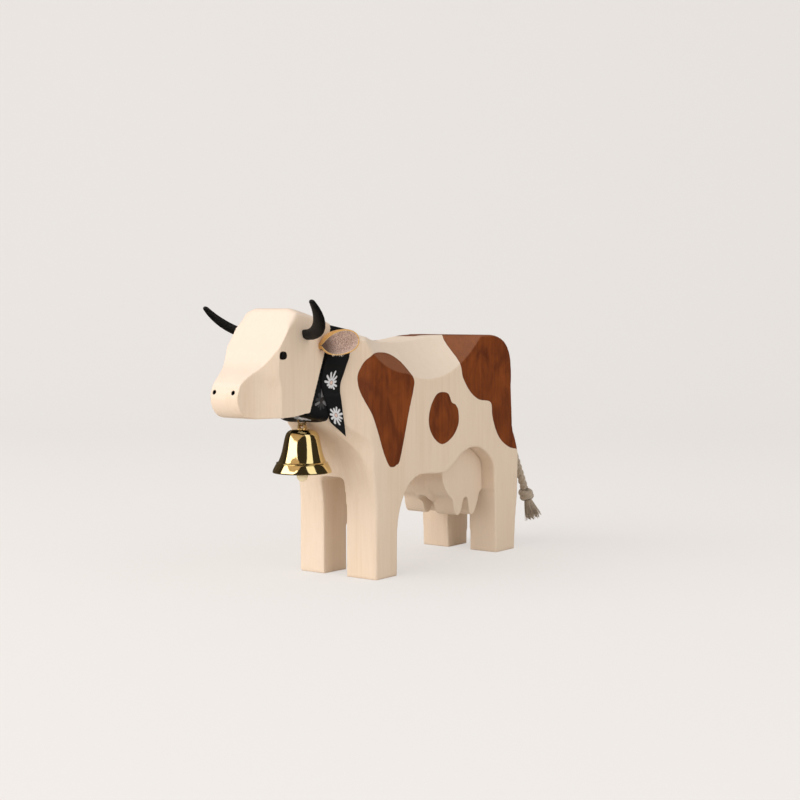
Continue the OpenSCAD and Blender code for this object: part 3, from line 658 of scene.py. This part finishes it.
leather_finish, start, shader = finish("ear_leather", Sheen_Weight=0.15)
here = place_of(start)
nap = here.stretch(2200, 2200, 2200).grain(3, 0.75)
pores = here.stretch(3200, 3200, 3200).grain(2, 0.6)
suede = nap.step(0.38, 0.60).tint(suede_shade, suede_light)
# The suede is painted darker towards the root: painted shade deep in the rolled cup.
suede = ((1 - mark_of(start, "lengthwise").step(0.02, 0.42)) * 0.9).tint(suede, suede_root_shade)
skin = pores.step(0.3, 0.7).tint(skin_dark, skin_light)
edge = pores.step(0.3, 0.7).tint(edge_dark, edge_light)
inner = 1 - mark_of(start, "underside")
into(shader, Base_Color=inner.step(0.75, 0.95).tint(inner.step(0.05, 0.25).tint(skin, edge), suede),
     Roughness=0.5 + inner.step(0.7, 0.95) * 0.4, Normal=relief_of(nap * 0.7 + pores * 0.3, 0.18))
fibre_finish, start, shader = finish("loose_fibre", Roughness=0.9)
tone = place_of(start).stretch(900, 900, 900).grain(2)
into(shader, Base_Color=tone.tint(loose_dark, loose_light))
ear("ear_cup_left", -1)
ear("ear_cup_right", 1)

# Ribbon
# A black satin ribbon with white woven edelweiss lies round the neck behind the
# head. Its free end overlaps on the left, hangs below and is cut on the slant.
throat, nape = (-68.15, 91.6), (-52.31, 136.82)
throat_rate, nape_rate = 0.3458, 0.2357
lean_angle = math.radians(19.3)
lean = math.tan(lean_angle)
neck_width, taper_start, taper = 26, -30.35, 0.41626
neck_corner, crown_bevel = 1.2, 3.8
bevel_middle_in, bevel_middle_drop, bevel_in = 3, 1.27, 9
ribbon_gap, ribbon_thick, ribbon_start, ribbon_stop = 0.75, 0.45, 0.5, 14.4
neck_girth, ring_points = 128, 320
sag, sag_half_width, sag_height, sag_run = 0.6, 20, 98, 6
askew_reach, askew_side, askew_top, askew_fade = 3.5, 16, 110, 16
motif_line, pattern_top = 8.0, 107.0
girth_stops, pattern_stops = [0, 4.0, 17.2, 33, 40, 90, 95, neck_girth], [-4, 0, 17, 30, 25.5, 25.5, 30, 64]
shaded_from, shaded_to, shading = 10, 30, 0.95
end_gap, end_wave, end_flare, end_flare_top = 1.45, 0.25, 0.5, 86
free_end_left = [(-53.8, 127), (-55.2, 122.7), (-56.6, 118), (-57.9, 113.3), (-58.6, 109.2), (-58.5, 105),
                 (-57.7, 101), (-56.4, 97.1), (-55.1, 92.5), (-54.4, 89.6), (-53.5, 86.2), (-50.9, 83.4),
                 (-48.2, 80.8), (-45.9, 78.4)]
free_end_right = [(-44.2, 127), (-43.9, 123.4), (-43.3, 119.9), (-44.9, 115.2), (-46.5, 110.6),
                  (-48.0, 106.6), (-48.4, 103), (-48.2, 99.4), (-47.6, 95.8), (-47, 92), (-46.4, 88.4),
                  (-46, 85), (-45.8, 81.6), (-45.7, 78.2)]


def neck_half(x):
    """Half the neck's width, which narrows towards the head."""
    return neck_width - max(0, taper_start - x) * taper


def neck_ring(behind, gap):
    """The neck's outline that many mm behind the head and that gap off the wood."""
    low_run = behind / math.cos(lean_angle) / (1 + throat_rate * lean)
    high_run = behind / math.cos(lean_angle) / (1 + nape_rate * lean)
    low_x, low = throat[0] + low_run, throat[1] - throat_rate * low_run
    high_x, high = nape[0] + high_run, nape[1] - nape_rate * high_run
    corner_x, bevel_x = low_x + neck_corner * lean, high_x - crown_bevel * lean
    half = [(low_x, 0, low - gap), (low_x, neck_half(low_x) - neck_corner, low - gap),
            (low_x, neck_half(low_x) + gap * 0.7, low - gap * 0.7),
            (corner_x, neck_half(corner_x) + gap, low + neck_corner),
            (bevel_x, neck_half(bevel_x) + gap, high - crown_bevel),
            (high_x, neck_half(high_x) + gap * 0.9 - bevel_middle_in, high - bevel_middle_drop + gap * 0.8),
            (high_x, neck_half(high_x) - bevel_in, high + gap), (high_x, 0, high + gap)]
    ring = [(a, -b, c) for a, b, c in half] + half[-2:0:-1]
    ring = np.array(ring + ring[:1])
    reach = np.concatenate([[0], np.cumsum(np.linalg.norm(np.diff(ring, axis=0), axis=1))])
    places = np.linspace(0, reach[-1], ring_points + 1)[:-1]
    ring = np.stack([np.interp(places, reach, ring[:, k]) for k in range(3)], axis=1)
    return sum(np.roll(ring, k, axis=0) for k in (-2, -1, 0, 1, 2)) / 5


rows, across = [], []
for behind in np.linspace(ribbon_start, ribbon_stop, 15):
    ring = neck_ring(behind, ribbon_gap)
    low = np.clip(1 - (ring[:, 1] / sag_half_width) ** 2, 0, 1) * (ring[:, 2] < sag_height)
    ring[:, 2] += lifted(ring[:, 1], ring[:, 2]) - sag * low * min(1, behind / sag_run)
    fade = np.clip(ring[:, 1] / askew_side, 0, 1) * np.clip((askew_top - ring[:, 2]) / askew_fade, 0, 1)
    rows.append(ring + np.outer(askew_reach * fade, [1, taper, -throat_rate]))
    across.append(np.full(ring_points, behind - motif_line))
place = np.arange(ring_points) * neck_girth / ring_points
along = np.interp(place, girth_stops, pattern_stops)
# dim marks the stretch of the loop under the free end, which takes painted shade.
dim = (place > shaded_from) * (place < shaded_to) * shading
ribbon_loop = slab("ribbon_loop", np.transpose(rows, (1, 0, 2)), ribbon_thick,
                   {"across": np.transpose(across), "along": np.repeat(along, len(rows)),
                    "dim": np.repeat(dim, len(rows))}, loop=True)

grid, across, along = [], [], []
for a, b in zip(smooth_line(free_end_left, 5), smooth_line(free_end_right, 5)):
    row = []
    for t in np.linspace(0, 1, 13):
        x, z = a + (b - a) * t
        lift = end_gap + end_wave * math.sin(z / 5) * (z < 100) + end_flare * max(0, (end_flare_top - z) / 8)
        row.append((x, -neck_half(x) - lift, z))
        across.append((t - 0.5) * float(np.linalg.norm(b - a)))
        along.append(pattern_top - z)
    grid.append(row)
ribbon_end = slab("ribbon_end", grid, ribbon_thick, {"across": across, "along": along})

motif_pitch, motif_half_height, motif_half_width, petal_count = 17, 5.2, 3.7, 11
fold_place, fold_shift = -10.25, 14
satin_dark, satin_light, shaded_white = (0.0025, 0.0025, 0.0035), (0.009, 0.010, 0.011), (0.16, 0.16, 0.165)
thread_white, thread_shade, heart_pink = (0.85, 0.86, 0.87), (0.42, 0.43, 0.46), (0.78, 0.58, 0.50)
# The fourth number below is the share of petals left out in that painted shade.
petal_short, petal_extra, petal_start, petals_hidden_in_shade, stitch_pitch = 0.62, 0.3, 0.34, 0.62, 0.42
ribbon_finish, start, shader = finish("ribbon", Specular_IOR_Level=0.3)
u, v, dim = (mark_of(start, name) for name in ("along", "across", "dim"))
u = u - u.calc("LESS_THAN", fold_place) * fold_shift
number = (u / motif_pitch).calc("ROUND")
up, wide = (u - number * motif_pitch - 0.6) / motif_half_height, v / motif_half_width
radius = (up * up + wide * wide).calc("SQRT")
turn = wide.calc("ARCTAN2", up) * (petal_count / math.tau)
petal = turn.calc("ROUND")
slant = (turn - petal) * (math.tau / petal_count)
chance = ((petal * 12.99 + number * 4.1).calc("SINE") * 437.58).calc("FRACT")
reach, aside = radius * slant.calc("COSINE"), radius * slant.calc("SINE")
first = 1 - (number * number).calc("MINIMUM", 1)
beyond = reach - (petal_short + chance * petal_extra - first * up * 0.26)
beyond = beyond.calc("MAXIMUM", petal_start - reach).calc("MAXIMUM", 0)
petals = 1 - (aside * aside + beyond * beyond).calc("SQRT").step(0.095, 0.14)
# In the painted shade some petals and the heart are left out and the white is painted grey.
petals = petals * (1 - dim * (petals_hidden_in_shade - chance).calc("SIGN").calc("MAXIMUM", 0))
heart = (1 - radius.step(0.15, 0.24)) * (1 - dim)
thread = place_of(start).stretch(2300, 2300, 500).grain(2)
stitch = (u * (math.tau / stitch_pitch) + wide * 6).calc("SINE") * 0.5 + 0.5
black = thread.tint(satin_dark, satin_light)
white = (stitch * 0.55 + thread * 0.3).tint(thread_white, thread_shade)
woven = (heart * 0.9).tint(petals.tint(black, white), heart_pink)
woven = (dim * petals).tint(woven, shaded_white)
into(shader, Base_Color=woven, Roughness=0.42 + thread * 0.2 + petals * 0.25,
     Normal=relief_of(thread * 0.5 + petals * (0.7 + stitch * 0.5), 0.12))
for made in (ribbon_loop, ribbon_end):
    made.data.materials.append(ribbon_finish)
    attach(made, "cow")
    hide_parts("neck_ribbon")

# Bell
# The bell is spun from thin brass and polished. A strip loop on its rivet hangs in
# a jump ring through the ribbon, and inside a cast ball hangs on a wire.
bell_middle, bell_mouth, bell_radius, bell_height = -55.35, 58.95, 15.6, 22.7
bell_inner_height, bell_wall, bell_axis_gap, bell_sides = 21.9, 0.9, 0.3, 160
lip_share = [(1, 0), (0.994, 0.04), (0.95, 0.11), (0.89, 0.185), (0.868, 0.205)]
bead_share = [(0.872, 0.208), (0.882, 0.216), (0.872, 0.228), (0.82, 0.238)]
wall_share = [(0.812, 0.242), (0.75, 0.34), (0.69, 0.47), (0.648, 0.6), (0.61, 0.73), (0.56, 0.86),
              (0.495, 0.93), (0.405, 0.972), (0.31, 0.993), (0.2, 1), (0.02, 1.002)]


def brass(name, dark, light, rough, lines, metallic=1.0):
    """Brass with a haze, small wear marks and turning lines that many mm deep."""
    made, start, shader = finish(name, Metallic=metallic)
    here = place_of(start)
    haze = here.stretch(300, 300, 300).grain()
    turned = here.stretch(40, 40, 5000).grain(3, 0.7)
    wear = here.stretch(900, 900, 900).grain(5, 0.7).step(0.55, 0.75)
    into(shader, Base_Color=(haze * 0.7 + wear * 0.3).tint(light, dark),
         Roughness=haze * 0.04 + wear * 0.05 + rough, Normal=relief_of(turned * 0.7 + wear * 0.3, lines))
    return made


def bell_line(parts, size, foot):
    """Radius and height in mm along soft curves through the outlines in parts."""
    return np.concatenate([smooth_line(line, 5) for line in parts]) * size + foot


polished = brass("polished_brass", (0.80, 0.60, 0.26), (0.90, 0.73, 0.37), 0.05, 0.004)
drawn = brass("drawn_brass", (0.50, 0.32, 0.12), (0.72, 0.49, 0.22), 0.24, 0.02, 0.7)
# The clapper's brass is painted pale and not metallic: painted light on a ball in the bell's shade.
lightened_cast = brass("lightened_cast_brass", (0.96, 0.78, 0.46), (1.0, 0.88, 0.60), 0.34, 0.03, 0.0)
outside = bell_line((lip_share, bead_share, wall_share), (bell_radius, bell_height), (0, bell_mouth))
inside = bell_line((lip_share[:4], wall_share), (bell_radius, bell_inner_height), (-bell_wall, bell_mouth))
inside[:, 0] = np.maximum(inside[:, 0], bell_axis_gap)
rolled_edge = [outside[0] - (0.15, 0.12), outside[0] - (0.75, 0.12)]
section = np.concatenate([outside[::-1], rolled_edge, inside])
points = [(bell_middle + r * math.cos(a), r * math.sin(a), z)
          for r, z in section for a in np.arange(bell_sides) * math.tau / bell_sides]
open_tube = tube_faces(len(section), bell_sides)[:-2]
shell = piece("bell_spun", np.array(points) * MM, open_tube)
shell.data.materials.append(polished)
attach(shell, "bell")
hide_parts("bell_shell")
for name, metal in (("bell_hanger", drawn), ("bell_ring", drawn), ("bell_clapper", lightened_cast)):
    smooth_shade(coat(name, metal))

# Floor and lamps
# The toy stands on a pale paper sweep, under soft light from its front and its left.
# Bright metal mirrors darker surroundings than the camera sees. Sizes are in metres.
sweep_start, sweep_bend, sweep_radius, sweep_half_width, sweep_top = -2.5, 0.9, 1, 5, 4
toy_middle = Vector((0, 0, 0.07))
paper, paper_glow, mirrored_floor = (0.80, 0.78, 0.76, 1), (0.865, 0.83, 0.80), (0.035, 0.025, 0.016)
pale_light, mirrored_dark = (0.88, 0.845, 0.81, 1), (0.02, 0.015, 0.01)
profile = [(sweep_start, 0), (sweep_bend, 0)]
profile += [(sweep_bend + sweep_radius * math.sin(a), sweep_radius * (1 - math.cos(a)))
            for a in np.radians(range(6, 91, 6))]
profile.append((sweep_bend + sweep_radius, sweep_top))
ahead = Vector((math.cos(heading), math.sin(heading), 0))
beside = Vector((-math.sin(heading), math.cos(heading), 0))
sweep = [ahead * away + beside * across + Vector((0, 0, rise))
         for away, rise in profile for across in (-sweep_half_width, sweep_half_width)]
faces = [(2 * k, 2 * k + 1, 2 * k + 3, 2 * k + 2) for k in range(len(profile) - 1)]
floor = piece("floor", sweep, faces)
floor_finish, start, shader = finish("floor", Roughness=0.8, Specular_IOR_Level=0.0)
shader.inputs["Base Color"].default_value = paper
seen = start.node("ShaderNodeLightPath", output="Is Camera Ray")
mirrored = start.node("ShaderNodeLightPath", output="Is Glossy Ray")
glow = start.node("ShaderNodeEmission", {"Color": paper_glow})
dark = start.node("ShaderNodeEmission", {"Color": mirrored_floor})
surface = Paint(start.tree, shader.outputs[0])
for share, other in ((seen * 0.62, glow), (mirrored * 0.94, dark)):
    surface = start.node("ShaderNodeMixShader", {0: share, 1: surface, 2: other})
into(start.tree.nodes["Material Output"], Surface=surface)
floor.data.materials.append(floor_finish)

world = bpy.data.worlds.new("surroundings")
bpy.context.scene.world = world
world.use_nodes = True
tree = world.node_tree
pale = tree.nodes["Background"]
pale.inputs["Color"].default_value = pale_light
pale.inputs["Strength"].default_value = 0.73
start = Paint(tree, None)
dark = start.node("ShaderNodeBackground", {"Color": mirrored_dark})
mirrored = start.node("ShaderNodeLightPath", output="Is Glossy Ray")
surface = start.node("ShaderNodeMixShader", {0: mirrored * 0.97, 1: Paint(tree, pale.outputs[0]), 2: dark})
into(tree.nodes["World Output"], Surface=surface)


def lamp(name, at, size, power, tone):
    """A soft rectangular lamp aimed at the middle of the toy."""
    light = bpy.data.lights.new(name, "AREA")
    light.shape, light.size, light.size_y, light.energy, light.color = "RECTANGLE", *size, power, tone
    made = bpy.data.objects.new(name, light)
    made.location = at
    made.rotation_euler = (toy_middle - Vector(at)).to_track_quat("-Z", "Y").to_euler()
    bpy.context.scene.collection.objects.link(made)


lamp("front_lamp", (-1.4, 0.55, 0.95), (1.9, 1.8), 27, (1, 0.98, 0.975))
lamp("side_lamp", (-0.2, -1.5, 0.95), (0.9, 1.8), 5.8, (1, 1, 1))
